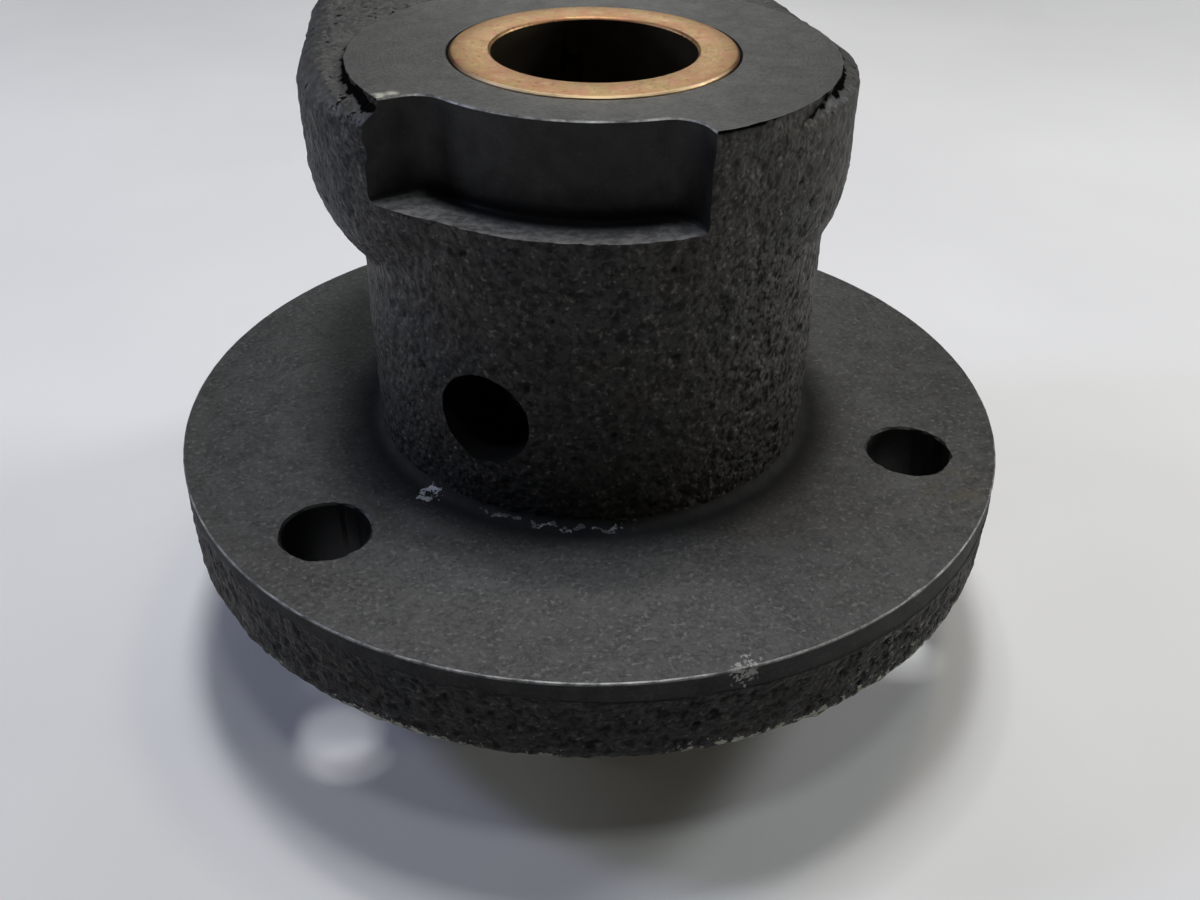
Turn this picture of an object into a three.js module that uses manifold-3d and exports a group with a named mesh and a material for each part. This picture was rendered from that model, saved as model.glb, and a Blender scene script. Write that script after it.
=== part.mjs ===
// Flange mount bearing: a cast-iron housing with a round three-bolt flange, a pilot below it, a round
// neck and a head above it, and two bronze bushings pressed into its through bore. Nothing in it moves
// without its shaft.
//
// Millimetres. +Z runs up the bore towards the head, and the origin is the centre of the pilot's end,
// which the part stands on. One bolt hole, and the lug of the head above it, point along +Y. Heights
// below are measured from the mounting face, the underside of the flange: the whole group is raised by
// the pilot's length at the end.
import * as THREE from "three";
import { mergeVertices } from "three/addons/utils/BufferGeometryUtils.js";
import Module from "manifold-3d";

const wasm = await Module();
wasm.setup();

// ---- driving dimensions ----
const flange = { radius: 56, thickness: 12.3, edgeBreak: 0.3 };
const castRim = { radius: 56.6, belowTop: 2.4, lowerEdge: 1.2 };
const pilot = { radius: 35, length: 20.5, chamfer: 1.2, reliefDepth: 0.6, reliefWidth: 1.2 };
const neck = { radius: 29.5, fillet: 3 };
const face = { height: 61.9, radius: 29.85, step: 1, edgeBreak: 0.25 };
const bore = { radius: 17.5, chamfer: 0.5 };
const bolts = { radius: 5.5, circle: 44.75, angles: [90, 210, 330] };
const port = { radius: 5.75, height: 26, angle: -129.5 };
const notch = { floor: 50.4, inner: 24.2, outer: 36, corner: 4, from: -155, to: -78.3 };
const head = { top: 61.7, topRounding: 3.5, sideFoot: 50.4, underRounding: 18 };
const bush = { inner: 12.5, length: 28, gap: 0.05, innerChamfer: 0.8, outerChamfer: 0.5 };
const bushEnds = { proud: 0.25, sunk: 0.5 };
const oilGroove = { radius: 1.6, depth: 0.9, stopShort: 5 };

// The head is the hull of these circles: two make its front, where it runs out into the neck, and two
// the lug's end.
const headCircles = [
  { x: 4.4, y: -0.3, r: 27.8 },
  { x: -4.5, y: 5.75, r: 31 },
  { x: 6.5, y: 28, r: 25 },
  { x: -7.6, y: 28, r: 25 },
];

const ROUND = 72; // facets round a full turn
const HOLE_ROUND = 36; // facets round a bolt hole or the port
const ARC = 5; // facets along a fillet or a rounded edge
const HEAD_ROUND = 72; // points round the head's outline
const OVERSHOOT = 2; // how far a cutter runs past the faces it opens

const top = flange.thickness; // the flange's upper face

// ---- materials ----
const castIron = new THREE.MeshStandardMaterial({ color: 0x3c3c3b, roughness: 0.72, metalness: 0.55 });
const bronze = new THREE.MeshStandardMaterial({ color: 0xb58a5c, roughness: 0.36, metalness: 0.95 });

// ---- helpers ----
const radians = THREE.MathUtils.degToRad;

// A closed three.js geometry as a manifold-3d solid.
function solid(geometry) {
  const bare = geometry.clone();
  bare.deleteAttribute("normal");
  bare.deleteAttribute("uv");
  const merged = mergeVertices(bare, 1e-4);
  const index = merged.index.array;
  const triangles = [];
  for (let i = 0; i < index.length; i += 3) {
    const [a, b, c] = index.subarray(i, i + 3);
    if (a !== b && b !== c && c !== a) triangles.push(a, b, c);
  }
  return new wasm.Manifold(
    new wasm.Mesh({
      numProp: 3,
      vertProperties: merged.attributes.position.array,
      triVerts: new Uint32Array(triangles),
    }),
  );
}

// A manifold-3d solid as a geometry with flat facets.
function geometryOf(made) {
  const mesh = made.getMesh();
  const geometry = new THREE.BufferGeometry();
  geometry.setAttribute("position", new THREE.BufferAttribute(mesh.vertProperties, 3));
  geometry.setIndex(new THREE.BufferAttribute(mesh.triVerts, 1));
  const flat = geometry.toNonIndexed();
  flat.computeVertexNormals();
  return flat;
}

// Turns a profile of [radius, height] points, listed bottom to top, round the Z axis.
function turned(points) {
  const profile = points.map(([r, z]) => new THREE.Vector2(r, z));
  return solid(new THREE.LatheGeometry(profile, ROUND).rotateX(Math.PI / 2));
}

// Points of a quarter arc from startAngle to endAngle, in degrees, as [radius, height].
function arc(centreR, centreZ, radius, startAngle, endAngle) {
  return Array.from({ length: ARC + 1 }, (_, i) => {
    const a = radians(THREE.MathUtils.lerp(startAngle, endAngle, i / ARC));
    return [centreR + radius * Math.cos(a), centreZ + radius * Math.sin(a)];
  });
}

// A cylinder along Z between two heights, centred at (x, y).
function pillar(radius, low, high, x, y, facets = HOLE_ROUND) {
  const geometry = new THREE.CylinderGeometry(radius, radius, high - low, facets);
  return solid(geometry.rotateX(Math.PI / 2).translate(x, y, (low + high) / 2));
}

// The head's outline, moved inwards by inset. Each point is the hull's furthest point in its own direction.
function headOutline(inset) {
  return Array.from({ length: HEAD_ROUND }, (_, i) => {
    const a = (i / HEAD_ROUND) * 2 * Math.PI;
    const n = new THREE.Vector2(Math.cos(a), Math.sin(a));
    const reach = (c) => c.x * n.x + c.y * n.y + c.r;
    const furthest = headCircles.reduce((best, c) => (reach(c) > reach(best) ? c : best));
    return new THREE.Vector2(furthest.x, furthest.y).addScaledVector(n, furthest.r - inset);
  });
}

// Joins a stack of convex outlines, given as { z, inset } from the bottom up, into one closed skin.
function loft(levels) {
  const rings = levels.map(({ z, inset }) => headOutline(inset).map((p) => [p.x, p.y, z]));
  const middle = ({ z }) => [0, headCircles[2].y / 2, z];
  const n = HEAD_ROUND;
  const vertices = [...rings.flat(), middle(levels[0]), middle(levels.at(-1))];
  const [bottom, lid] = [vertices.length - 2, vertices.length - 1];
  const last = (rings.length - 1) * n;
  const faces = [];
  for (let i = 0; i < n; i++) {
    const j = (i + 1) % n;
    for (let k = 0; k < last; k += n) faces.push(k + i, k + j, k + n + j, k + i, k + n + j, k + n + i);
    faces.push(bottom, j, i, lid, last + i, last + j);
  }
  const geometry = new THREE.BufferGeometry();
  geometry.setAttribute("position", new THREE.Float32BufferAttribute(vertices.flat(), 3));
  return solid(geometry.setIndex(faces));
}

// ---- the housing ----

// Pilot, flange and neck, solid to the axis, with the cast rim left proud of the turned band above it.
function turnedBody() {
  const bandFoot = top - castRim.belowTop;
  return turned([
    [0, -pilot.length],
    [pilot.radius - pilot.chamfer, -pilot.length],
    [pilot.radius, pilot.chamfer - pilot.length],
    [pilot.radius, pilot.reliefDepth],
    [pilot.radius + pilot.reliefWidth, pilot.reliefDepth],
    [pilot.radius + pilot.reliefWidth, 0],
    ...arc(castRim.radius - castRim.lowerEdge, castRim.lowerEdge, castRim.lowerEdge, -90, 0),
    [castRim.radius, bandFoot],
    [flange.radius, bandFoot],
    [flange.radius, top - flange.edgeBreak],
    [flange.radius - flange.edgeBreak, top],
    ...arc(neck.radius + neck.fillet, top + neck.fillet, neck.fillet, -90, -180),
    [neck.radius, face.height - face.step],
    [face.radius, face.height - face.step],
    [face.radius, face.height - face.edgeBreak],
    [face.radius - face.edgeBreak, face.height],
    [0, face.height],
  ]);
}

// The head and its lug: a rounded underside, upright sides and a rounded top edge.
function castHead() {
  const under = arc(head.underRounding, head.sideFoot, head.underRounding, -90, -180);
  const edge = arc(head.topRounding, head.top - head.topRounding, head.topRounding, 180, 90);
  return loft([...under, ...edge].map(([inset, z]) => ({ inset, z })));
}

// The through bore that holds both bushings, chamfered at each end.
function boreCutter() {
  const foot = -pilot.length;
  return turned([
    [0, foot - OVERSHOOT],
    [bore.radius + bore.chamfer, foot - OVERSHOOT],
    [bore.radius + bore.chamfer, foot],
    [bore.radius, foot + bore.chamfer],
    [bore.radius, face.height - bore.chamfer],
    [bore.radius + bore.chamfer, face.height],
    [bore.radius + bore.chamfer, face.height + OVERSHOOT],
    [0, face.height + OVERSHOOT],
  ]);
}

function boltCutters() {
  return bolts.angles.map((angle) => {
    const a = radians(angle);
    const [x, y] = [bolts.circle * Math.cos(a), bolts.circle * Math.sin(a)];
    return pillar(bolts.radius, -OVERSHOOT, top + OVERSHOOT, x, y);
  });
}

// The lubrication port, drilled square to the neck into the space between the bushings.
function portCutter() {
  const length = neck.radius + OVERSHOOT;
  const geometry = new THREE.CylinderGeometry(port.radius, port.radius, length, HOLE_ROUND);
  geometry.rotateZ(-Math.PI / 2).translate(length / 2, 0, 0);
  return solid(geometry.rotateZ(radians(port.angle)).translate(0, 0, port.height));
}

// The notch: a stretch of ring milled down from the face. Its two end walls are radial, and a rounded
// corner joins each of them to the inner wall.
function notchCutter() {
  const [from, to] = [radians(notch.from), radians(notch.to)];
  const cornerPath = notch.inner + notch.corner;
  const swing = Math.asin(notch.corner / cornerPath);
  const corner = (a) => [cornerPath * Math.cos(a), cornerPath * Math.sin(a), notch.corner];
  const shape = new THREE.Shape();
  shape.absarc(0, 0, notch.inner, to - swing, from + swing, true);
  shape.absarc(...corner(from + swing), from + swing + Math.PI, from + 1.5 * Math.PI, false);
  shape.absarc(0, 0, notch.outer, from, to, false);
  shape.absarc(...corner(to - swing), to + Math.PI / 2, to - swing + Math.PI, false);
  const depth = face.height + OVERSHOOT - notch.floor;
  const geometry = new THREE.ExtrudeGeometry(shape, { depth, bevelEnabled: false, curveSegments: 12 });
  return solid(geometry.translate(0, 0, notch.floor));
}

function housing() {
  const cutters = [boreCutter(), ...boltCutters(), portCutter(), notchCutter()];
  return cutters.reduce((made, cutter) => made.subtract(cutter), turnedBody().add(castHead()));
}

// ---- the bushings ----

// A bushing standing on z = 0 with its grooved end down: the groove feeds grease up from the middle.
function bushing() {
  const outer = bore.radius - bush.gap;
  const { inner, length, innerChamfer, outerChamfer } = bush;
  const shell = turned([
    [inner + innerChamfer, 0],
    [outer - outerChamfer, 0],
    [outer, outerChamfer],
    [outer, length - outerChamfer],
    [outer - outerChamfer, length],
    [inner + innerChamfer, length],
    [inner, length - innerChamfer],
    [inner, innerChamfer],
    [inner + innerChamfer, 0],
  ]);
  const centre = inner + oilGroove.depth - oilGroove.radius;
  return shell.subtract(pillar(oilGroove.radius, -OVERSHOOT, length - oilGroove.stopShort, 0, centre));
}

// ---- the assembly ----
const bearing = new THREE.Group();

function addPiece(name, made, material, z = 0) {
  const mesh = new THREE.Mesh(geometryOf(made), material);
  mesh.name = name;
  mesh.position.z = z;
  bearing.add(mesh);
  return mesh;
}

addPiece("housing", housing(), castIron);
addPiece("upper_bushing", bushing(), bronze, face.height + bushEnds.proud - bush.length);

// The lower bushing is the same piece turned over, so that its groove also opens into the middle space.
const lower = addPiece("lower_bushing", bushing(), bronze, bushEnds.sunk + bush.length - pilot.length);
lower.rotation.y = Math.PI;
bearing.position.z = pilot.length;

export default bearing;
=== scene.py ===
from functools import partial, partialmethod
from math import asin, cos, pi, radians, sin, sqrt

import bpy
import numpy as np
from mathutils import Matrix, Vector


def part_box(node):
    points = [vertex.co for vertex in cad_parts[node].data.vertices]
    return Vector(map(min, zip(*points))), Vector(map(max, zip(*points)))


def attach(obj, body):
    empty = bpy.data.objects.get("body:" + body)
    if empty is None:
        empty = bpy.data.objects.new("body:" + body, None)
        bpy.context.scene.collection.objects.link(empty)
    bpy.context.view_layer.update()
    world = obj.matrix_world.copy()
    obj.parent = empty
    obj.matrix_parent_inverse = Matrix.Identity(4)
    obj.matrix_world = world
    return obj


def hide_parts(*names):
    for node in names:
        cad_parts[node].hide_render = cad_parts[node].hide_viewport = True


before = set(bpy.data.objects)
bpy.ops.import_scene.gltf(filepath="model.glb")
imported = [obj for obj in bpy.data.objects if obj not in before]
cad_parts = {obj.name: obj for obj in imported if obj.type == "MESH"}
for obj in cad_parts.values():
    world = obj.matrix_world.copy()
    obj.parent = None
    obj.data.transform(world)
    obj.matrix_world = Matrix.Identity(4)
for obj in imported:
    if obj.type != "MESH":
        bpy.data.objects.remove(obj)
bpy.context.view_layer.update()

MM = 0.001  # one millimetre, in the frame's metres

# ---- sizes that the frame gives ----
_, housing_high = (np.array(corner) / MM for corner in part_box("housing"))
upper_low, upper_high = (np.array(corner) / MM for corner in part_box("upper_bushing"))
lower_low, _ = (np.array(corner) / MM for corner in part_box("lower_bushing"))
RIM = housing_high[0]  # radius of the flange's cast rim
FACE = housing_high[2]  # height of the head's turned face
BUSH_OUTER = upper_high[0]
BUSH_LENGTH = upper_high[2] - upper_low[2]

# ---- driving dimensions, in millimetres and degrees ----
MOUNT = 20.5  # height of the mounting face: the pilot's length
TOP = MOUNT + 12.3  # height of the flange's upper face
PILOT = {"radius": 35.0, "chamfer": 1.2, "relief_depth": 0.6, "relief_width": 1.2}
TURNED_RIM = 56.25
RIM_SKIN = RIM - 0.36  # radius of the rim's cast skin, before the grain moves it
RIM_FOOT = {"chips": 1.0, "least": 0.2, "most": 2.4, "rounded": 1.5}
BAND = {"width": 2.5, "lean": 1.3, "widest": -24, "lip": 0.07, "lip_lean": 0.09}
RIM_EDGE = {"break": 0.18, "worn": 0.09, "worn_at": -105, "least": 0.08, "most": 0.8}
RIM_DENTS = ((-86, 1.8, 1.0), (-61, 1.0, 0.5))  # bearing, width and weight of each; the first is ragged
NECK = {"radius": 29.5, "foot_depth": 3, "fillet": 1.8, "sunk": 0.25}
NECK |= {"boss": 29.85, "boss_height": 1.2, "swell": 3}
BORE = {"radius": 17.5, "chamfer": 0.3}
BOLTS = {"radius": 5.5, "circle": 44.75, "angles": (90, 210, 330), "edge": 0.28}
PORT = {"radius": 5.75, "height": MOUNT + 26.0, "angle": -129.5, "edge": 0.45}
PORT_MOUTH = ((-3, 0), (-1.4, 0.15), (-0.5, 0.5), (0.4, 1), (3, 1.2))  # outside the neck, share of the edge
FLOOR = MOUNT + 50.4  # height of the notch's floor
NOTCH = {"inner": 24.2, "outer": 36.0, "corner": 4.0, "from": -155, "to": -78.3, "splay": 2.5}
NOTCH_EDGE = 0.18
NOTCH_ROOT = 0.8
HEAD = {"top": FACE - 0.45, "top_round": 3.5, "side_foot": MOUNT + 50.4, "under_round": 18.0}
HEAD_CIRCLES = ((4.2, -0.3, 27.8), (-4.4, 5.75, 30.8), (6.5, 28.0, 25.0), (-7.6, 28.0, 25.0))
HEAD_INSET = 24.0  # how far in from the outline the head's flat top and bottom are meshed
HEAD_FLAT = {"bearing": -25, "spread": 45, "round": 0.45, "raised": 0.2}  # where its top edge is sharper
HEAD_GAP = {"outside": 0.7, "width": 0.9, "depth": 0.75, "below": 1.5}  # round the turned boss
HEAD_CRACKS = (-168, -43)  # where that gap is deepest
BUSH = {"inner": 12.5, "inner_edge": 0.35, "outer_edge": 0.3}
OIL_GROOVE = {"radius": 1.6, "depth": 0.9, "stop_short": 5.0, "run_out": 1.2}
AXIS_HOLE = 1.0  # radius of a lathe's first and last row, which a flat fan closes
SOFT = 0.1  # half the width of a machined corner's bevel
BEYOND = 3.0  # how far a cutter reaches past the surface it opens

# ---- the cast skin's relief: depth, size and seed of each layer ----
RELIEF = (
    (0.12, 12.0, 1),  # slow swell
    (0.08, 3.4, 2),  # lumps
    (0.17, 1.25, 3),  # grains of sand
)
PITS = {"depth": 0.55, "size": 1.5, "seed": 4, "threshold": 0.25}
RELIEF_LIMIT = 0.3

# ---- how fine the meshes are ----
FLANGE_POINTS = 720
NECK_POINTS = 430
HEAD_POINTS = 480
BUSH_POINTS = 360
HOLE_POINTS = 144
GRAIN_STEP = 0.5  # distance between rows where the skin has grain
UNDER_STEP = 0.65  # the same on the head's flat underside

# ---- the housing's material slots, and the bushings' ----
CAST, TURNED, MILLED, DRILLED, WORN, HEAD_CAST = range(6)
BRONZE, RUNNING = range(2)


# ======== noise ========

NOISE_GAIN = 1.4  # brings the noise's usual range close to -1 to 1
HASH_AXES = (73856093, 19349663, 83492791)
HASH_SEED = 2654435761
HASH_MIXERS = (2246822519, 3266489917)


def noise(points, size, seed):
    """Smooth noise, roughly between -1 and 1, at each point. size is how far apart its bumps are."""
    scaled = points / size
    cell = np.floor(scaled).astype(np.int64)
    inside = scaled - cell
    blend = inside**3 * (inside * (inside * 6 - 15) + 10)
    total = np.zeros(points.shape[:-1])
    for corner in np.ndindex(2, 2, 2):
        offset = np.array(corner)
        weight = np.where(offset == 1, blend, 1 - blend).prod(-1)
        total += weight * (gradients(cell + offset, seed) * (inside - offset)).sum(-1)
    return total * NOISE_GAIN


def gradients(cells, seed):
    """A direction for each cell of the noise's lattice, always the same for one cell and seed."""
    mixed = (cells * np.array(HASH_AXES)).sum(-1) + seed * HASH_SEED
    mixed = (mixed ^ (mixed >> 15)) * HASH_MIXERS[0] % 2**32
    mixed = (mixed ^ (mixed >> 13)) * HASH_MIXERS[1] % 2**32
    parts = np.stack([mixed % 1024, mixed // 1024 % 1024, mixed // 2**20 % 1024], -1)
    return parts / 511.5 - 1


def grain(points):
    """How far the cast skin stands out at each point: a slow swell, lumps, sand grains and pits."""
    layers = sum(depth * noise(points, size, seed) for depth, size, seed in RELIEF)
    pits = -PITS["depth"] * np.clip(noise(points, PITS["size"], PITS["seed"]) - PITS["threshold"], 0, 1)
    return np.minimum(layers + pits, RELIEF_LIMIT)


# ======== meshes ========


def make_mesh(name, vertices, quads, quad_slots, triangles=(), triangle_slots=()):
    """A mesh from vertices in millimetres, with the material slot of each face."""
    mesh = bpy.data.meshes.new(name)
    loops = np.concatenate([np.ravel(quads), np.ravel(triangles)]).astype(np.int32)
    sizes = np.concatenate([np.full(len(quads), 4), np.full(len(triangles), 3)]).astype(np.int32)
    mesh.vertices.add(len(vertices))
    mesh.vertices.foreach_set("co", (vertices * MM).astype(np.float32).ravel())
    mesh.loops.add(len(loops))
    mesh.loops.foreach_set("vertex_index", loops)
    mesh.polygons.add(len(sizes))
    starts = (np.cumsum(sizes) - sizes).astype(np.int32)
    mesh.polygons.foreach_set("loop_start", starts)
    slots = np.concatenate([quad_slots, triangle_slots]).astype(np.int32)
    mesh.polygons.foreach_set("material_index", slots)
    mesh.update(calc_edges=True)
    return mesh


def closed_grid(name, grid, strip_slots):
    """A closed mesh from rows of points that each go once round, with its ends closed by flat fans.

    grid is [rows, points, 3], bottom row first. strip_slots holds the material slot of the strip of
    faces above each row.
    """
    rows, count, _ = grid.shape
    index = np.arange(rows * count).reshape(rows, count)
    following = np.roll(index, -1, axis=1)
    quads = np.stack([index[:-1], following[:-1], following[1:], index[1:]], -1).reshape(-1, 4)
    bottom, top = rows * count, rows * count + 1
    under = np.stack([np.full(count, bottom), following[0], index[0]], -1)
    over = np.stack([np.full(count, top), index[-1], following[-1]], -1)
    ends = np.stack([grid[0].mean(0), grid[-1].mean(0)])
    vertices = np.concatenate([grid.reshape(-1, 3), ends])
    fan_slots = np.repeat([strip_slots[0], strip_slots[-1]], count)
    fans = np.concatenate([under, over])
    return make_mesh(name, vertices, quads, np.repeat(strip_slots, count), fans, fan_slots)


def grid_normals(grid):
    """Outward normals of a grid of rows that go anticlockwise, seen from above."""
    wrapped = np.concatenate([grid[:, -1:], grid, grid[:, :1]], 1)
    along = wrapped[:, 2:] - wrapped[:, :-2]
    upwards = np.gradient(grid, axis=0)
    normals = np.cross(along, upwards)
    return normals / np.maximum(np.linalg.norm(normals, axis=-1, keepdims=True), 1e-12)


def spaced(start, end, step):
    """Numbers from start to end, about step apart, with both ends in."""
    return np.linspace(start, end, max(2, round(abs(end - start) / step) + 1))


def full_turn(count):
    return np.arange(count) / count * 2 * pi


def arc(centre_r, centre_z, radius, start, end, step):
    """Points (radius, height) on an arc between two angles in degrees."""
    length = abs(radians(end - start)) * radius
    turn = np.radians(spaced(0, 1, step / length) * (end - start) + start)
    return centre_r + radius * np.cos(turn), centre_z + radius * np.sin(turn)


def new_object(name, mesh):
    made = bpy.data.objects.new(name, mesh)
    bpy.context.scene.collection.objects.link(made)
    return made


def combine(base, tool, operation):
    """Joins tool to base, or cuts it away, and deletes the tool."""
    modifier = base.modifiers.new("combine", "BOOLEAN")
    modifier.solver = "MANIFOLD"
    modifier.operation = operation
    modifier.object = tool
    modifier.material_mode = "INDEX"
    graph = bpy.context.evaluated_depsgraph_get()
    result = bpy.data.meshes.new_from_object(base.evaluated_get(graph))
    base.modifiers.clear()
    old = base.data
    base.data = result
    bpy.data.meshes.remove(old)
    bpy.data.objects.remove(tool)


# ======== the raw casting ========


class Lathe:
    """Collects rows of points round the bore axis, from the bottom up, and skins them.

    A row's radius and height may change round the turn. outward says how much of the grain moves the
    row's points away from the axis.
    """

    def __init__(self, count):
        self.turn = full_turn(count)
        self.rows, self.weights, self.slots = [], [], []

    def row(self, radius, height, slot, outward=0.0):
        self.rows.append(np.broadcast_arrays(radius, height, self.turn)[:2])
        self.weights.append(outward)
        self.slots.append(slot)

    def rows_of(self, radii, heights, slot, outward=0.0):
        for radius, height, weight in zip(*np.broadcast_arrays(radii, heights, outward)):
            self.row(radius, height, slot, weight)

    def round_noise(self, radius, size, seed):
        """Noise round the turn, one value per point, with bumps of a size along that radius."""
        ring = np.stack([np.cos(self.turn), np.sin(self.turn), 0 * self.turn], -1) * radius
        return noise(ring, size, seed)

    def near(self, angle, width):
        """A bump round the turn, 1 at an angle and fading over a width, both in degrees."""
        away = np.abs((np.degrees(self.turn) - angle + 180) % 360 - 180)
        return np.exp(-((away / width) ** 2))

    def mesh(self, name):
        radius, height = (np.array(values) for values in zip(*self.rows))
        grid = np.stack([radius * np.cos(self.turn), radius * np.sin(self.turn), height], -1)
        amounts = np.outer(self.weights, (1, 1, 0))[:, None]
        grid = grid + grid_normals(grid) * grain(grid)[..., None] * amounts
        return closed_grid(name, grid, self.slots[:-1])


def raw_flange():
    """Pilot and flange, solid to the axis."""
    lathe = Lathe(FLANGE_POINTS)
    pilot, relief = PILOT["radius"], PILOT["radius"] + PILOT["relief_width"]
    chamfer, ceiling = PILOT["chamfer"], MOUNT + PILOT["relief_depth"]
    profile = (
        (AXIS_HOLE, 0.0),
        (pilot - chamfer - SOFT, 0.0),
        (pilot - chamfer, 0.4 * SOFT),
        (pilot - 0.4 * SOFT, chamfer),
        (pilot, chamfer + SOFT),
        (pilot, ceiling),
        (relief - SOFT, ceiling),
        (relief, ceiling - SOFT),
        (relief, MOUNT + SOFT),
        (relief + SOFT, MOUNT),
    )
    lathe.rows_of(*zip(*profile), TURNED)
    add_rim(lathe)
    add_fillet(lathe)
    return lathe.mesh("raw_flange")


def add_rim(lathe):
    """The flange's rim: rough and chipped below, and turned in a band of uneven height above."""
    uneven = partial(lathe.round_noise, RIM)
    chipped = RIM_FOOT["chips"] + 0.6 * uneven(5, 21) + 0.9 * uneven(1.7, 22)
    chipped = np.clip(chipped, RIM_FOOT["least"], RIM_FOOT["most"])
    leaning = np.cos(lathe.turn - radians(BAND["widest"]))
    band = BAND["width"] + BAND["lean"] * leaning + 0.25 * uneven(9, 23) + 0.12 * uneven(1.6, 26)
    lip = np.clip(BAND["lip"] + BAND["lip_lean"] * leaning + 0.06 * uneven(1.8, 27), 0.0, 0.25)
    foot = TOP - band
    lathe.row(RIM_SKIN - chipped - 0.4, MOUNT, TURNED)
    for share in spaced(0, 1, GRAIN_STEP / (foot.mean() - MOUNT)):
        height = MOUNT + share * (foot - MOUNT)
        below = np.clip(1 - (height - MOUNT) / RIM_FOOT["rounded"], 0, 1)
        radius = RIM_SKIN - chipped * (1 - np.sqrt(1 - 0.98 * below**2))
        fade = np.clip((1 - share) * 8, 0, 1)
        radius = radius * fade + (TURNED_RIM + lip) * (1 - fade)
        lathe.row(radius, height, CAST, min(1.25, 0.6 + 4 * share) * (0.1 + 0.9 * fade))
    lathe.slots[-1] = TURNED
    lathe.row(TURNED_RIM, foot + 0.14, TURNED)
    first, second = (lathe.near(bearing, width) for bearing, width, _ in RIM_DENTS)
    dents = first * (1 + uneven(0.9, 25)) + RIM_DENTS[1][2] * second
    worn = RIM_EDGE["worn"] * lathe.near(RIM_EDGE["worn_at"], 28)
    edge = RIM_EDGE["break"] + worn + 0.07 * uneven(2.6, 24) + 0.25 * dents
    edge = np.clip(edge, RIM_EDGE["least"], RIM_EDGE["most"])
    lathe.row(TURNED_RIM, TOP - edge, WORN)
    lathe.row(TURNED_RIM - 0.3 * edge, TOP - 0.3 * edge, WORN)
    lathe.row(TURNED_RIM - edge, TOP, TURNED)


def add_fillet(lathe):
    """The turned face's last bit, that curves up and ends a little inside the neck's rough skin."""
    inner, fillet = NECK["radius"] - NECK["sunk"], NECK["fillet"]
    lathe.rows_of(*arc(inner + fillet, TOP + fillet, fillet, -90, -178, 0.35), TURNED)
    lathe.row(AXIS_HOLE, TOP + fillet, TURNED)


def raw_neck():
    """The rough neck, from inside the flange up to the boss that is faced off."""
    lathe = Lathe(NECK_POINTS)
    radius, boss = NECK["radius"], NECK["boss"]
    boss_foot = FACE - NECK["boss_height"]
    foot = TOP - NECK["foot_depth"]
    lathe.row(AXIS_HOLE, foot, CAST)
    heights = np.concatenate([[foot], spaced(TOP, boss_foot, GRAIN_STEP)])
    swell = np.clip((heights - boss_foot + NECK["swell"]) / NECK["swell"], 0, 1)
    radii = radius + (boss - radius) * swell * swell * (3 - 2 * swell)
    lathe.rows_of(radii, heights, CAST, 1 - 0.5 * swell)
    ragged = 0.18 * lathe.round_noise(boss, 2.6, 33) + 0.11 * lathe.round_noise(boss, 1.0, 34) - 0.14
    lathe.row(boss + ragged, FACE - 0.5, CAST, 0.3)
    lathe.row(boss + ragged - 0.05, FACE - 0.08, CAST)
    lathe.row(boss + ragged - 0.12, FACE, TURNED)
    lathe.row(AXIS_HOLE, FACE, TURNED)
    return lathe.mesh("raw_neck")


def head_outline(inset):
    """The head seen from above, moved inwards: the hull of its circles."""
    turn = full_turn(HEAD_POINTS)
    direction = np.stack([np.cos(turn), np.sin(turn)], -1)
    circles = np.array(HEAD_CIRCLES)
    reach = direction @ circles[:, :2].T + circles[:, 2]
    furthest = circles[reach.argmax(-1)]
    points = furthest[:, :2] + direction * (furthest[:, 2:] - inset)
    return even_spacing(points)


def even_spacing(points):
    """The same closed outline, with its points the same distance apart."""
    closed = np.concatenate([points, points[:1]])
    travelled = np.concatenate([[0], np.cumsum(np.linalg.norm(np.diff(closed, axis=0), axis=1))])
    wanted = np.arange(len(points)) / len(points) * travelled[-1]
    return np.stack([np.interp(wanted, travelled, closed[:, k]) for k in range(2)], -1)


def raw_head():
    """The head with its lug: flat and rounded below, upright at the sides, rounded at the top edge.

    On one side the top edge is sharper. Round the turned boss the top sinks into a ragged gap.
    """
    under, rounding, foot, top = (HEAD[key] for key in ("under_round", "top_round", "side_foot", "top"))
    flat_inset = spaced(HEAD_INSET, under + GRAIN_STEP, UNDER_STEP)
    bottom = np.full(len(flat_inset), foot - under)
    under_inset, under_height = arc(under, foot, under, -90, -180, GRAIN_STEP)
    side = spaced(foot + GRAIN_STEP, top - rounding - GRAIN_STEP, GRAIN_STEP)
    edge_inset, edge_height = arc(rounding, top - rounding, rounding, 180, 90, GRAIN_STEP)
    top_inset = spaced(rounding + GRAIN_STEP, HEAD_INSET, GRAIN_STEP)
    insets = np.concatenate([flat_inset, under_inset, 0 * side, edge_inset, top_inset])
    lid = np.full(len(top_inset), top)
    heights = np.concatenate([bottom, under_height, side, edge_height, lid])
    outlines = np.array([head_outline(inset) for inset in insets])
    flat = np.exp(-(((bearings(outlines) - HEAD_FLAT["bearing"]) / HEAD_FLAT["spread"]) ** 2))
    drop = top - heights[:, None]
    full = top - foot
    sharper = np.interp(drop, (0, rounding, full), (0, HEAD_FLAT["round"] * rounding, full))
    levels = top - drop - (sharper - drop) * flat * (drop < full)
    levels = levels + HEAD_FLAT["raised"] * flat * (drop < rounding)
    grid = np.concatenate([outlines, levels[..., None]], -1)
    grid = grid + grid_normals(grid) * grain(grid)[..., None]
    grid[..., 2] -= boss_gap(grid, flat)
    return closed_grid("raw_head", grid, np.full(len(grid) - 1, HEAD_CAST))


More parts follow.
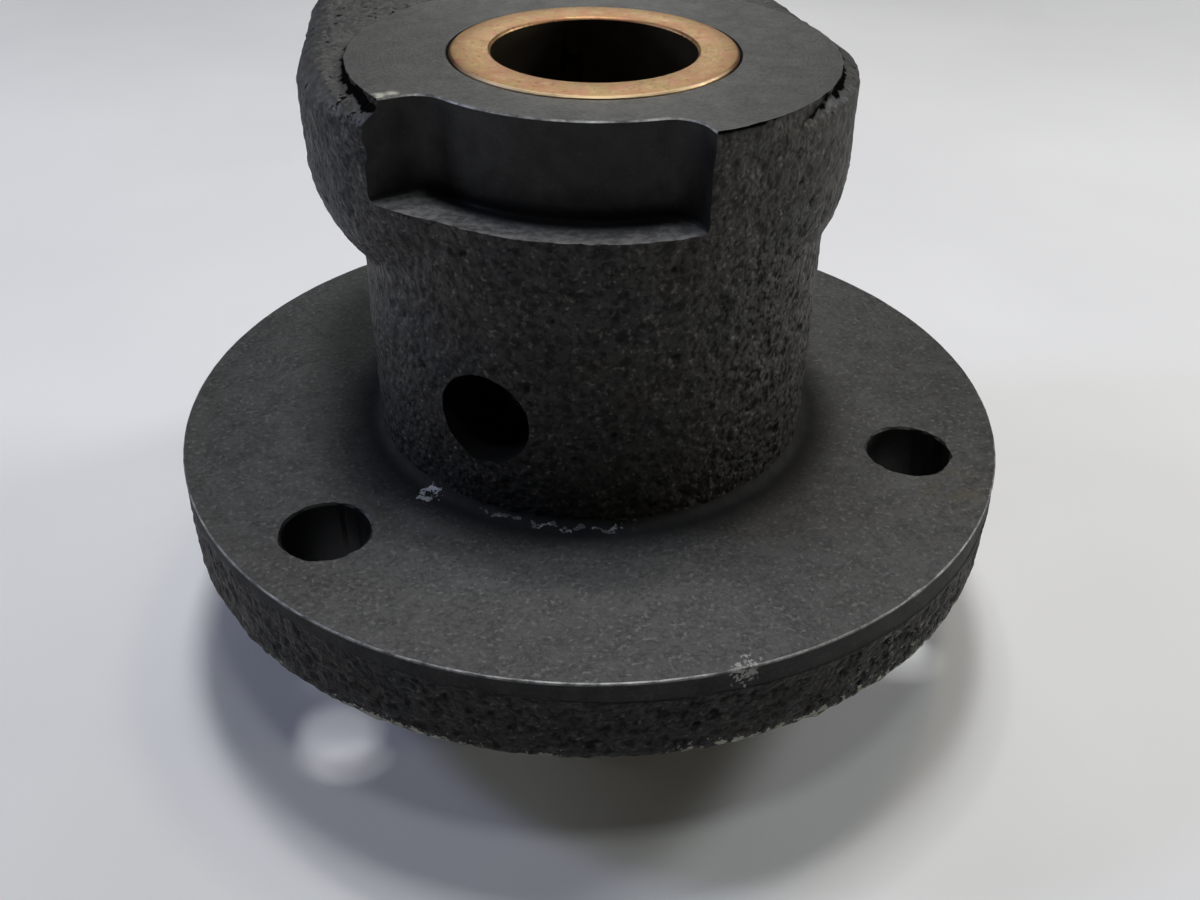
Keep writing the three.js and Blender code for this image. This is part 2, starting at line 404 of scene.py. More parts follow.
def boss_gap(grid, flat):
    """How deep the head's top sinks round the turned boss: ragged, and shallow on the flat side."""
    radius = np.hypot(grid[..., 0], grid[..., 1])
    across = (radius - NECK["boss"] - HEAD_GAP["outside"]) / HEAD_GAP["width"]
    deep = np.exp(-(((bearings(grid) - HEAD_CRACKS[0]) / 11) ** 2))
    ragged = np.clip(0.5 + 1.2 * noise(grid, 3.0, 51) + 0.8 * deep, 0, 1.6) * (1 - 0.8 * flat)
    on_top = grid[..., 2] > HEAD["top"] - HEAD_GAP["below"]
    return HEAD_GAP["depth"] * np.exp(-(across**2)) * ragged * on_top


def bearings(points):
    """The bearing of each point from the bore axis, in degrees."""
    return np.degrees(np.arctan2(points[..., 1], points[..., 0]))


# ======== machining ========


def prism(name, outline, levels, slots):
    """A closed cutter from an outline. levels holds (height, how far the outline is moved outwards),
    and slots is the material slot of the strips between levels: one for all, or one for each."""
    wrapped = np.concatenate([outline[-1:], outline, outline[:1]])
    along = wrapped[2:] - wrapped[:-2]
    outwards = np.stack([along[:, 1], -along[:, 0]], -1)
    outwards = outwards / np.linalg.norm(outwards, axis=1, keepdims=True)
    rings = []
    for height, move in levels:
        moved = outline + outwards * np.reshape(move, (-1, 1))
        rings.append(np.column_stack([moved, np.full(len(outline), height)]))
    return closed_grid(name, np.array(rings), np.broadcast_to(slots, len(levels) - 1))


def round_points(radius, turn, x=0.0, y=0.0):
    """Points round a centre, at some angles in radians."""
    return np.stack([x + radius * np.cos(turn), y + radius * np.sin(turn)], -1)


def bore_cutter():
    chamfer = BORE["chamfer"]
    levels = [(-BEYOND, chamfer), (0, chamfer), (chamfer, 0), (FACE - chamfer, 0)]
    levels += [(FACE, chamfer), (FACE + BEYOND, chamfer)]
    return prism("bore_cutter", round_points(BORE["radius"], full_turn(2 * HOLE_POINTS)), levels, DRILLED)


def flat_noise(outline, size, seed):
    """Noise along an outline of (x, y) points."""
    return noise(np.column_stack([outline, np.zeros(len(outline))]), size, seed)


def bolt_cutter(angle):
    edge, out = BOLTS["edge"], BOLTS["circle"]
    turn = radians(angle)
    rim = round_points(BOLTS["radius"], full_turn(HOLE_POINTS), out * cos(turn), out * sin(turn))
    uneven = 0.9 + 1.1 * flat_noise(rim, 2.2, 43) + 0.7 * flat_noise(rim, 0.9, 44)
    uneven = edge * np.clip(uneven, 0.2, 2.4)
    levels = [(MOUNT - BEYOND, edge), (MOUNT, edge), (MOUNT + edge, 0), (TOP - edge, 0)]
    levels += [(TOP, uneven), (TOP + BEYOND, uneven)]
    return prism("bolt_cutter", rim, levels, DRILLED)


def port_cutter():
    """A drill along +Z with a worn, uneven mouth, then laid over so that it runs out of the neck."""
    rim = round_points(PORT["radius"], full_turn(HOLE_POINTS))
    uneven = 1 + 0.8 * flat_noise(rim, 2.4, 41)
    flares = [(0, 0), *((NECK["radius"] + out, share) for out, share in PORT_MOUTH)]
    levels = [(height, share * PORT["edge"] * uneven) for height, share in flares]
    mesh = prism("port_cutter", rim, levels, DRILLED)
    lay = Matrix.Rotation(radians(90), 4, "Y")
    aim = Matrix.Rotation(radians(PORT["angle"]), 4, "Z")
    mesh.transform(Matrix.Translation((0, 0, PORT["height"] * MM)) @ aim @ lay)
    return mesh


def notch_cutter():
    """A stretch of ring with rounded inner corners and a rounded root. One end is radial, one splayed."""
    start, end = radians(NOTCH["from"]), radians(NOTCH["to"])
    corner, path = NOTCH["corner"], NOTCH["inner"] + NOTCH["corner"]
    swing = asin(corner / path)

    def arc_points(radius, first, last, x=0.0, y=0.0):
        return round_points(radius, spaced(first, last, 0.5 / radius), x, y)

    def rounded(at, first, last):
        return arc_points(corner, first, last, path * cos(at), path * sin(at))

    inner = arc_points(NOTCH["inner"], end - swing, start + swing)
    first = rounded(start + swing, start + swing + pi, start + 1.5 * pi)
    outer = arc_points(NOTCH["outer"], start - radians(NOTCH["splay"]), end)
    last = rounded(end - swing, end + pi / 2, end - swing + pi)
    outline = np.concatenate([part[:-1] for part in (inner, first, outer, last)])
    levels = []
    for height in spaced(0, NOTCH_ROOT, 0.2):
        sagging = sqrt(NOTCH_ROOT**2 - (NOTCH_ROOT - height) ** 2)
        levels.append((FLOOR + height, -(NOTCH_ROOT - sagging)))
    worn = NOTCH_EDGE * np.clip(1 + 0.7 * flat_noise(outline, 1.3, 42), 0.3, 2)
    levels += [(FACE - NOTCH_EDGE, 0), (FACE, worn), (FACE + BEYOND, worn)]
    slots = np.full(len(levels) - 1, MILLED)
    slots[-2] = WORN
    return prism("notch_cutter", outline, levels, slots)


# ======== finishing a mesh ========


def read(items, name, width=1, kind=np.int32):
    values = np.empty(len(items) * width, kind)
    items.foreach_get(name, values)
    return values.reshape(-1, width) if width > 1 else values


def face_pairs(mesh):
    """The two faces on each edge, as an array, with -1 where there is none."""
    edge_of_loop = read(mesh.loops, "edge_index")
    sizes = read(mesh.polygons, "loop_total")
    face_of_loop = np.repeat(np.arange(len(sizes)), sizes)
    order = np.argsort(edge_of_loop, kind="stable")
    edges, faces = edge_of_loop[order], face_of_loop[order]
    pairs = np.full((len(mesh.edges), 2), -1, np.int64)
    is_first = np.concatenate([[True], edges[1:] != edges[:-1]])
    pairs[edges[is_first], 0] = faces[is_first]
    pairs[edges[~is_first], 1] = faces[~is_first]
    return pairs


def soften_join(obj, rings=5, passes=14, spread=0.8, pull=0.7):
    """Gives the corner where the head meets the neck the small fillet that a mould leaves."""
    mesh = obj.data
    slots = read(mesh.polygons, "material_index")
    pairs = face_pairs(mesh)
    edges = read(mesh.edges, "vertices", 2)
    here, there = np.concatenate([edges, edges[:, ::-1]]).T
    points = read(mesh.vertices, "co", 3, np.float32).astype(float)
    first, second = slots[pairs[:, 0]], slots[pairs[:, 1]]
    as_cast = (CAST, HEAD_CAST)
    join = (first != second) & np.isin(first, as_cast) & np.isin(second, as_cast)
    strength = np.zeros(len(points))
    strength[edges[join].ravel()] = 1
    for _ in range(rings):
        grown = strength.copy()
        np.maximum.at(grown, here, strength[there] * spread)
        strength = grown
    machined = ~np.isin(slots, as_cast)
    corners = read(mesh.loops, "vertex_index")
    sizes = read(mesh.polygons, "loop_total")
    strength[corners[np.repeat(machined, sizes)]] = 0
    neighbours = np.bincount(here, minlength=len(points))
    for _ in range(passes):
        total = np.zeros_like(points)
        np.add.at(total, here, points[there])
        middle = total / neighbours[:, None]
        points += (middle - points) * (pull * strength)[:, None]
    mesh.vertices.foreach_set("co", points.astype(np.float32).ravel())
    slots[slots == HEAD_CAST] = CAST
    mesh.polygons.foreach_set("material_index", slots)
    mesh.update()


def shade(mesh, sharp_angle=28, rough_slots=(CAST,)):
    """Smooth shading, with hard edges wherever a machined face meets another at more than an angle."""
    slots = read(mesh.polygons, "material_index")
    normals = read(mesh.polygons, "normal", 3, np.float32)
    pairs = face_pairs(mesh)
    bend = (normals[pairs[:, 0]] * normals[pairs[:, 1]]).sum(-1)
    first, second = slots[pairs[:, 0]], slots[pairs[:, 1]]
    rough = np.isin(first, rough_slots) & np.isin(second, rough_slots)
    sharp = ((bend < cos(radians(sharp_angle))) & ~rough) | (first != second)
    mesh.polygons.foreach_set("use_smooth", np.ones(len(slots), bool))
    attribute = mesh.attributes.get("sharp_edge") or mesh.attributes.new("sharp_edge", "BOOLEAN", "EDGE")
    attribute.data.foreach_set("value", sharp)
    mesh.update()


# ======== pieces ========


def build_housing():
    housing = new_object("cast_housing", raw_flange())
    combine(housing, new_object("tool", raw_neck()), "UNION")
    combine(housing, new_object("tool", raw_head()), "UNION")
    soften_join(housing)
    cutters = [bore_cutter(), port_cutter(), notch_cutter(), *map(bolt_cutter, BOLTS["angles"])]
    for cutter in cutters:
        combine(housing, new_object("tool", cutter), "DIFFERENCE")
    shade(housing.data)
    return housing


def build_bushing(name, floor, flipped):
    """A bushing from one closed profile; its oil groove opens at the end that faces the middle."""
    length, outer, inner = BUSH_LENGTH, BUSH_OUTER, BUSH["inner"]
    inner_edge, outer_edge = BUSH["inner_edge"], BUSH["outer_edge"]
    lip, shoulder, top = inner + inner_edge, outer - outer_edge, length - OIL_GROOVE["stop_short"]
    run_out = OIL_GROOVE["run_out"]
    end = [
        (lip, 0),
        (shoulder, 0),
        (shoulder + SOFT, 0.03),
        (outer - 0.03, outer_edge - SOFT),
        (outer, outer_edge),
    ]
    profile = [  # radius and height, up the outside and down the inside
        *end,
        *((radius, length - height) for radius, height in reversed(end)),
        (lip - SOFT, length - 0.04),
        (inner + 0.04, length - inner_edge + SOFT),
        (inner, length - inner_edge),
        (inner, top + run_out),
        (inner, top + run_out / 2),
        (inner, top),
        (inner, 2.0),
        (inner, inner_edge),
    ]
    slots = [BRONZE] * 12 + [RUNNING] * 5 + [BRONZE]
    cut = np.array([1] + [0] * 12 + [1] * 5)  # 1 where the groove cuts the profile
    radius, height = np.array(profile).T
    turn = full_turn(BUSH_POINTS)
    channel = (inner + groove_depth(turn, height, top)) * cut[:, None]
    radius = np.maximum(radius[:, None], channel)
    if flipped:
        height = length - height
    heights = height[:, None] + floor + 0 * radius
    grid = np.stack([radius * np.cos(turn), radius * np.sin(turn), heights], -1)
    made = new_object(name, ring_mesh(name, grid, slots, flipped))
    shade(made.data, rough_slots=())
    return made


def groove_depth(turn, height, end):
    """How deep the oil groove is: a round channel at +Y that runs out before the bushing's far end."""
    radius, depth = OIL_GROOVE["radius"], OIL_GROOVE["depth"]
    across = BUSH["inner"] * np.abs((turn - pi / 2 + pi) % (2 * pi) - pi)
    channel = np.sqrt(np.clip(radius**2 - across**2, 0, None)) - (radius - depth)
    runs = np.clip((end + OIL_GROOVE["run_out"] - height) / OIL_GROOVE["run_out"], 0, 1)
    return np.clip(channel, 0, None)[None, :] * runs[:, None]


def ring_mesh(name, grid, row_slots, flipped):
    """A closed ring from profile rows that come back to the first row."""
    rows, count, _ = grid.shape
    index = np.arange(rows * count).reshape(rows, count)
    above, following = np.roll(index, -1, axis=0), np.roll(index, -1, axis=1)
    quads = np.stack([index, following, np.roll(following, -1, axis=0), above], -1).reshape(-1, 4)
    if flipped:
        quads = quads[:, ::-1]
    return make_mesh(name, grid.reshape(-1, 3), quads, np.repeat(row_slots, count))


# ======== materials ========


def grey(value):
    return (value, value, value)


# ---- tones of the iron, as linear colours ----
SKIN_TONES = ((0.035, 0.032, 0.027), (0.025, 0.026, 0.026))
SKIN_BROWN = (0.046, 0.036, 0.025)
SKIN_GLINT = (0.135, 0.124, 0.104)
PAINTED_TOP_LIGHT = (0.060, 0.060, 0.058)
PIT_AND_SHADE_BLACK = grey(0.002)
PAINTED_SHADE_TONE = grey(0.005)
TURNED_TONES = ((0.05, 0.05, 0.048), (0.065, 0.066, 0.063))
TURNED_GLINT = (0.135, 0.135, 0.131)
TURNED_PALE = (0.085, 0.086, 0.082)
TOOL_MARK = (0.081, 0.081, 0.079)
RUST = (0.095, 0.080, 0.035)
BARE = (0.42, 0.41, 0.34)
MILLED_TONES = ((0.012, 0.0115, 0.010), (0.018, 0.0175, 0.016))
MILLED_GLINT = (0.059, 0.058, 0.055)
SANDED_TONES = (grey(0.045), (0.115, 0.115, 0.112))
SANDED_LIP = (0.17, 0.17, 0.165)
DRILLED_TONES = (grey(0.007), (0.010, 0.010, 0.009))
DRILLED_GLINT = (0.025, 0.023, 0.022)
WORN_TONES = ((0.07, 0.07, 0.068), (0.29, 0.29, 0.28))
WORN_GLINT = (0.26, 0.26, 0.25)

# ---- pale dirt on the iron ----
CRUST = {"bearing": -112, "radius": 30.2, "dust": (0.11, 0.11, 0.108), "bits": (0.30, 0.31, 0.31)}
CRUST_SPOT = {"at": (-25.6, -18.1, TOP + 0.6), "tone": (0.42, 0.44, 0.45)}
BRUISE = {"at": (4.0, -56.0, TOP - 0.7), "tone": (0.26, 0.262, 0.25)}
RIM_CRUMBS = {"all_round": (0.19, 0.19, 0.15), "front": (0.28, 0.28, 0.23), "dust": (0.12, 0.12, 0.10)}
RUST_STAIN = (41.0, -32.0, TOP)
BARE_SPOTS = (((-26.7, -11.2, FACE), 0.4, 0.9), ((-25.3, -10.7, FACE), 0.2, 0.8))  # place, reach, fade
OPEN_GRAIN_BEARING = -48  # where the neck's skin has its darkest pits

# ---- tones of the bronze ----
BRONZE_TONES = ((0.43, 0.255, 0.115), (0.42, 0.300, 0.125))
BRONZE_PINK = (0.46, 0.210, 0.120)
BRONZE_YELLOW = (0.52, 0.37, 0.17)
BRONZE_SPECK = (0.17, 0.08, 0.045)
BRONZE_MARK = (0.30, 0.18, 0.08)
BRONZE_EDGE = (0.09, 0.04, 0.022)
BRONZE_HIGHLIGHT_PAINT = (0.80, 0.62, 0.38)
RUNNING_TONES = ((0.026, 0.019, 0.011), (0.036, 0.027, 0.016))

# ---- the floor, and what the camera sees behind it ----
PAPER_TONES = ((0.70, 0.70, 0.695), (0.74, 0.74, 0.735))
DISTANCE_COLOUR = (0.9, 0.95, 1.0)
DISTANCE_GLOW = 0.62
DISTANCE_STARTS = (350, 1100)  # the glow of the floor sets in between these distances


class Shader:
    """A material's node tree, built with short calls. Coordinates inside it are in millimetres."""

    def __init__(self, name):
        self.material = bpy.data.materials.new(name)
        self.material.use_nodes = True
        self.tree = self.material.node_tree
        self.tree.nodes.clear()
        self.surface = self.node("BsdfPrincipled")
        self.node("OutputMaterial", {"Surface": self.surface.outputs[0]})
        metres = {0: self.node("TexCoord").outputs["Object"], "Scale": 1 / MM}
        self.place = self.node("VectorMath", metres, operation="SCALE").outputs[0]

    def node(self, kind, inputs=None, **settings):
        made = self.tree.nodes.new("ShaderNode" + kind)
        for key, value in settings.items():
            setattr(made, key, value)
        for key, value in (inputs or {}).items():
            self.feed(made.inputs[key], value)
        return made

    def feed(self, socket, value):
        if isinstance(value, bpy.types.NodeSocket):
            self.tree.links.new(value, socket)
        elif isinstance(value, tuple) and socket.type == "RGBA":
            socket.default_value = (*value, 1.0)
        else:
            socket.default_value = value

    def noise(self, size, detail=2.0, roughness=0.5):
        inputs = {"Vector": self.place, "Scale": 1 / size, "Detail": detail, "Roughness": roughness}
        return self.node("TexNoise", inputs).outputs["Fac"]

    def warped(self, size, amount):
        """The position, pushed about by noise, so that what is drawn with it loses its roundness."""
        inputs = {"Vector": self.place, "Scale": 1 / size, "Detail": 0}
        shift = self.node("TexNoise", inputs).outputs["Color"]
        centred = self.vector("SUBTRACT", shift, grey(0.5))
        return self.vector("MULTIPLY_ADD", centred, grey(2 * amount), self.place)

    def grains(self, size, place):
        """Grains: how far each point is from its grain's middle, and a number for each grain."""
        made = self.node("TexVoronoi", {"Vector": place, "Scale": 1 / size}).outputs
        return made["Distance"], self.node("SeparateColor", {0: made["Color"]}).outputs[0]

    def rings(self, pitch, detail=2.0):
        """Noise that changes only with the distance from the bore axis: the marks of a lathe tool."""
        inputs = {"W": self.radius(), "Scale": 1 / pitch, "Detail": detail}
        return self.node("TexNoise", inputs, noise_dimensions="1D").outputs["Fac"]

    def split(self, vector=None):
        return self.node("SeparateXYZ", {0: vector or self.place}).outputs

    def radius(self):
        x, y, _ = self.split()
        return self.vector("LENGTH", self.node("CombineXYZ", {0: x, 1: y}).outputs[0], output="Value")

    def height(self):
        return self.split()[2]

    def upward(self):
        return self.split(self.node("NewGeometry").outputs["Normal"])[2]

    def pointiness(self):
        return self.node("NewGeometry").outputs["Pointiness"]

    def vector(self, operation, *values, output=0):
        return self.node("VectorMath", dict(enumerate(values)), operation=operation).outputs[output]

    def math(self, operation, first, second):
        return self.node("Math", {0: first, 1: second}, operation=operation).outputs[0]

    plus = partialmethod(math, "ADD")
    minus = partialmethod(math, "SUBTRACT")
    times = partialmethod(math, "MULTIPLY")
    larger = partialmethod(math, "MAXIMUM")

    def remap(self, value, low, high, to_low=0.0, to_high=1.0):
        return self.node("MapRange", dict(enumerate((value, low, high, to_low, to_high)))).outputs[0]

    def by_height(self, *limits):
        return self.remap(self.height(), *limits)

    def by_radius(self, *limits):
        return self.remap(self.radius(), *limits)

    def mix(self, factor, first, second):
        return self.node("Mix", {0: factor, 6: first, 7: second}, data_type="RGBA").outputs[2]

    def bump(self, height, depth, **normal):
        """Tilts the normal as if the surface rose by depth millimetres where height is 1."""
        return self.node("Bump", {"Distance": depth * MM, "Height": height, **normal}).outputs[0]

    def close_to(self, point, reach, fade):
        """1 within reach of a point in millimetres, and 0 beyond the fade."""
        away = self.vector("DISTANCE", self.place, point, output="Value")
        return self.remap(away, reach + fade, reach)

    def towards(self, angle, spread, fade):
        """1 within a spread of a bearing from the bore axis, in degrees, and 0 beyond the fade."""
        x, y, _ = self.split()
        bearing = self.math("ARCTAN2", y, x)
        away = self.math("ABSOLUTE", self.minus(bearing, radians(angle)), 0.0)
        return self.remap(away, radians(spread + fade), radians(spread))

    def mottled(self, size, detail, low=0.35, high=0.65, most=1.0, roughness=0.5):
        """A mask of spots about size apart, where the noise passes from low to high."""
        return self.remap(self.noise(size, detail, roughness), low, high, 0, most)

    def finish(self, colour, roughness, metallic, normal, **others):
        values = dict(Base_Color=colour, Roughness=roughness, Metallic=metallic, Normal=normal, **others)
        for name, value in values.items():
            self.feed(self.surface.inputs[name.replace("_", " ")], value)
        return self.material


# ---- dirt, marks and painted shade; s is the shader of the material they are on ----


def above_flange(s):
    """0 below the flange's upper face, 1 on it and above."""
    return s.by_height(TOP - 0.6, TOP - 0.3)


def crumbs(s, tone, where, size, colour):
    """Covers the tone with pale crumbs, more of them where the mask is stronger."""
    cut = s.minus(0.72, s.times(where, 0.27))
    grains = s.minus(s.noise(size, 3, 0.65), cut)
    cover = s.times(s.remap(grains, 0.0, 0.05), s.remap(where, 0.0, 0.2))
    return s.mix(cover, tone, colour)


def residue(s, tone):
    """The pale crust left where the turned fillet meets the neck, and one thick spot of it."""
    low = s.times(s.by_height(TOP + 1.7, TOP + 0.9), above_flange(s))
    wander = s.remap(s.noise(3.0, 1), 0.35, 0.65, -0.5, 0.5)
    away = s.minus(s.plus(s.radius(), wander), CRUST["radius"])
    line = s.remap(s.math("ABSOLUTE", away, 0.0), 0.55, 0.2)
    band = s.times(s.times(low, line), s.towards(CRUST["bearing"], 14, 10))
    spot = s.close_to(CRUST_SPOT["at"], 0.9, 1.6)
    tone = crumbs(s, tone, s.times(band, 0.9), 1.2, CRUST["dust"])
    tone = crumbs(s, tone, s.times(band, 0.6), 0.8, CRUST["bits"])
    return crumbs(s, tone, spot, 0.9, CRUST_SPOT["tone"])


def chipped_edge(s, tone):
    """The pale bruise on the flange's upper edge."""
    return crumbs(s, tone, s.close_to(BRUISE["at"], 0.8, 2.2), 0.7, BRUISE["tone"])


def foot_crumbs(s, tone):
    """Pale crumbs along the rim's lower edge, thickest at the front right, and dust above them there."""
    low = s.by_height(MOUNT + 2.6, MOUNT + 1.0)
    foot = s.times(low, s.mottled(7, 2, 0.42, 0.62, 0.8))
    tone = crumbs(s, tone, foot, 1.0, RIM_CRUMBS["all_round"])
    front = s.times(low, s.larger(s.towards(-64, 22, 14), s.towards(-127, 6, 8)))
    tone = crumbs(s, tone, s.times(front, 0.92), 1.1, RIM_CRUMBS["front"])
    dusty = s.times(s.by_height(TOP - 2.5, TOP - 4.0), s.towards(-48, 18, 20))
    return crumbs(s, tone, s.times(dusty, 0.45), 1.0, RIM_CRUMBS["dust"])


def gap_shade_and_holes(s):
    """1 in the gap between the turned boss and the rough head, where shade is painted, and in the holes of
    the head's top.
    """
    outside = s.minus(s.radius(), NECK["boss"])
    left, right = (s.towards(at, 8, 8) for at in HEAD_CRACKS)
    deep = s.larger(left, s.times(right, 0.3))
    ragged = s.remap(s.noise(1.6, 2), 0.35, 0.65, -0.3, 0.35)
    reach = s.plus(ragged, s.times(deep, 0.4))
    # Painted shade in the gap round the boss.
    gap = s.remap(s.minus(outside, reach), 0.25, 0.0)
    holes = s.mottled(1.6, 2, 0.635, 0.675, 0.9, 0.6)
    facing_up = s.remap(s.upward(), 0.1, 0.35)
    above = s.times(s.by_height(FACE - 3.2, FACE - 2.4), facing_up)
    return s.times(s.larger(gap, holes), above)


def cast_skin():
    """Sand-cast iron: grains of uneven tone with dark pits between them, partly painted shade. Painted light
    lightens the head's upward faces; painted shade darkens the rim, the upper head, hollows and the gap
    round the boss.
    """
    s = Shader("cast_skin")
    warped = s.warped(1.0, 0.5)
    spread, lot = s.grains(0.85, warped)
    coarse, coarse_lot = s.grains(1.6, warped)
    sand = s.noise(0.9, 1)
    on_rim = s.by_height(TOP + 0.5, TOP - 0.5)
    high_up = s.by_height(FACE - 4.5, FACE - 1.5)
    on_top = s.times(high_up, s.remap(s.upward(), 0.2, 0.7))

    tone = s.mix(s.mottled(14, 2), *SKIN_TONES)
    tone = s.mix(s.mottled(6, 3, 0.5, 0.75, 0.5), tone, SKIN_BROWN)
    tone = s.mix(s.mottled(2.4, 2, 0.40, 0.65, 0.35), tone, grey(0.012))
    tone = s.mix(s.mottled(0.7, 1, 0.50, 0.34, 0.7), tone, grey(0.010))
    glints = s.times(s.mottled(0.62, 1, 0.56, 0.70), s.remap(lot, 0.3, 0.8))
    tone = s.mix(s.times(glints, 0.9), tone, SKIN_GLINT)
    # Painted light: upward faces high on the head are lightened.
    tone = s.mix(s.times(on_top, 0.55), tone, PAINTED_TOP_LIGHT)

    pits = s.times(s.remap(coarse_lot, 0.5, 0.8), s.remap(coarse, 0.60, 0.25))
    gaps = s.times(s.remap(spread, 0.35, 0.70), s.remap(sand, 0.62, 0.42))
    on_neck = s.by_height(FLOOR + 2, FLOOR - 6, 0.0, 0.3)
    open_grain = s.times(s.towards(OPEN_GRAIN_BEARING, 16, 16), on_neck)
    open_grain = s.larger(open_grain, s.times(on_rim, 0.12))
    deepest = s.plus(s.remap(on_top, 0, 1, 0.5, 0.33), open_grain)
    # Dark pits: random pits and gaps between grains, plus painted shade in hollows, found by pointiness, and
    # in the gap round the boss.
    pits_and_shade = s.times(s.larger(pits, gaps), deepest)
    pits_and_shade = s.larger(pits_and_shade, s.remap(s.pointiness(), 0.492, 0.465, 0, 0.75))
    pits_and_shade = s.larger(pits_and_shade, gap_shade_and_holes(s))

    # Painted shade: the rim below the flange's face is darkened, and the upper head lightly.
    on_head = s.by_height(FACE - 17, FACE - 9, 0, 0.15)
    shaded = s.larger(s.times(on_rim, 0.5), on_head)
    tone = s.mix(shaded, tone, grey(0.006))
    tone = s.mix(pits_and_shade, tone, PIT_AND_SHADE_BLACK)
    tone = foot_crumbs(s, tone)
    tone = residue(s, chipped_edge(s, tone))
    rough = s.remap(s.noise(1.8, 2), 0.3, 0.7, 0.5, 0.7)
    relief = s.minus(s.times(sand, 1.3), s.times(spread, 0.35))
    gloss = s.times(s.remap(pits_and_shade, 0.0, 0.9, 0.5, 0.0), s.remap(on_rim, 0, 1, 1.0, 0.42))
    return s.finish(tone, rough, 0.1, s.bump(relief, 0.22), Specular_IOR_Level=gloss)


def turned_iron():
    """Turned iron: grey and speckled, with painted shade at the neck's foot and on the rim's turned band."""
    s = Shader("turned_iron")
    tone = s.mix(s.mottled(22, 3), *TURNED_TONES)
    tone = s.mix(s.mottled(0.55, 1, 0.44, 0.58, 0.75, 0.6), tone, grey(0.026))
    speckled = s.by_height(TOP + 6, TOP + 5, 0.2, 0.7)
    glints = s.times(s.mottled(0.7, 1, 0.58, 0.70, 1, 0.6), speckled)
    tone = s.mix(glints, tone, TURNED_GLINT)
    tone = s.mix(s.mottled(2.6, 2, 0.42, 0.62, 0.35, 0.6), tone, TURNED_PALE)
    tone = s.mix(s.remap(s.rings(0.5), 0.35, 0.7, 0, 0.2), tone, TOOL_MARK)
    rust = s.times(s.close_to(RUST_STAIN, 1.5, 6.0), s.mottled(2.5, 3, 0.45, 0.7))
    tone = s.mix(s.times(rust, 0.45), tone, RUST)

    on_flange = s.times(s.by_height(TOP + 6, TOP + 5), above_flange(s))
    # Painted shade: near-black, and rougher, at the neck's foot on the flange and on the rim's turned band.
    neck_foot_shade = s.times(s.by_radius(36.0, 31.5), on_flange)
    on_band = s.by_height(MOUNT + 1.0, MOUNT + 2.0)
    rim_band_shade = s.times(s.by_height(TOP - 0.15, TOP - 0.4), on_band)
    painted_shade = s.larger(s.times(neck_foot_shade, 0.93), s.times(rim_band_shade, 0.82))
    tone = s.mix(painted_shade, tone, PAINTED_SHADE_TONE)
    bare = s.larger(*(s.close_to(*spot) for spot in BARE_SPOTS))
    tone = s.mix(s.times(bare, s.mottled(1.0, 2, 0.36, 0.52)), tone, BARE)
    tone = residue(s, chipped_edge(s, tone))

    rough = s.remap(s.noise(3.0, 4), 0.3, 0.7, 0.42, 0.56)
    rough = s.plus(rough, s.times(painted_shade, 0.3))
    normal = s.bump(s.rings(0.35, 3), 0.010)
    normal = s.bump(s.noise(0.4, 4, 0.7), 0.06, Normal=normal)
    return s.finish(tone, rough, 0.4, normal)


def milled_iron():
    """The notch: a dark wall, a floor paler towards its outer edge, and painted shade in the root between
    them.
    """
    s = Shader("milled_iron")
    tone = s.mix(s.mottled(5, 3), *MILLED_TONES)
    tone = s.mix(s.mottled(0.6, 3, 0.6, 0.75, 0.4, 0.7), tone, MILLED_GLINT)
    facing_up = s.remap(s.upward(), 0.7, 0.95)
    facing_up = s.times(facing_up, s.by_height(FLOOR - 2, FLOOR - 1))
    sanded = s.mix(s.mottled(0.8, 2, 0.4, 0.65, 1, 0.6), *SANDED_TONES)
    sanded = s.mix(s.by_radius(24.8, 27.2), grey(0.012), sanded)
    lip = s.times(s.by_radius(28.4, 29.3), s.mottled(1.2, 2, 0.40, 0.55))
    sanded = s.mix(s.times(lip, 0.7), sanded, SANDED_LIP)
    tone = s.mix(facing_up, tone, sanded)
    # Painted shade: the root where the wall meets the floor is darkened, with less shine.
    root = s.times(s.by_radius(26.2, 25.0), s.by_height(FLOOR + 2.0, FLOOR + 0.5))
    tone = s.mix(s.times(root, 0.6), tone, grey(0.004))
    rough = s.remap(s.noise(2), 0.3, 0.7, 0.42, 0.6)
    normal = s.bump(s.noise(0.6, 3, 0.6), 0.05)
    gloss = s.remap(root, 0.0, 1.0, 0.45, 0.1)
    return s.finish(tone, rough, 0.2, normal, Specular_IOR_Level=gloss)


def drilled_iron():
    """The walls of the holes: near-black, painted shade, and without a shine in the port."""
    s = Shader("drilled_iron")
    # Painted shade: the holes' walls and mouths are near-black.
    tone = s.mix(s.mottled(3, 3), *DRILLED_TONES)
    tone = s.mix(s.mottled(0.6, 3, 0.6, 0.75, 0.4, 0.7), tone, DRILLED_GLINT)
    normal = s.bump(s.noise(0.6, 4, 0.6), 0.05)
    metal, gloss = (s.by_height(TOP + 4, TOP + 6, *ends) for ends in ((0.3, 0.0), (0.5, 0.08)))
    return s.finish(tone, 0.5, metal, normal, Specular_IOR_Level=gloss)


def worn_iron():
    """Worn edges: bright metal in patches, most of it at the front of the flange, where it is partly a
    painted highlight.
    """
    s = Shader("worn_iron")
    # Painted highlight: bare metal is favoured towards the front of the flange.
    away = s.remap(s.towards(-105, 35, 60), 0.0, 1.0, 0.10, 0.0)
    bare = s.remap(s.minus(s.noise(1.8, 4, 0.65), away), 0.38, 0.62)
    tone = s.mix(bare, *WORN_TONES)
    tone = s.mix(s.mottled(0.7, 3, 0.6, 0.7, 1, 0.65), tone, WORN_GLINT)
    tone = chipped_edge(s, tone)
    normal = s.bump(s.noise(0.4, 4, 0.65), 0.04)
    return s.finish(tone, 0.45, 0.4, normal)


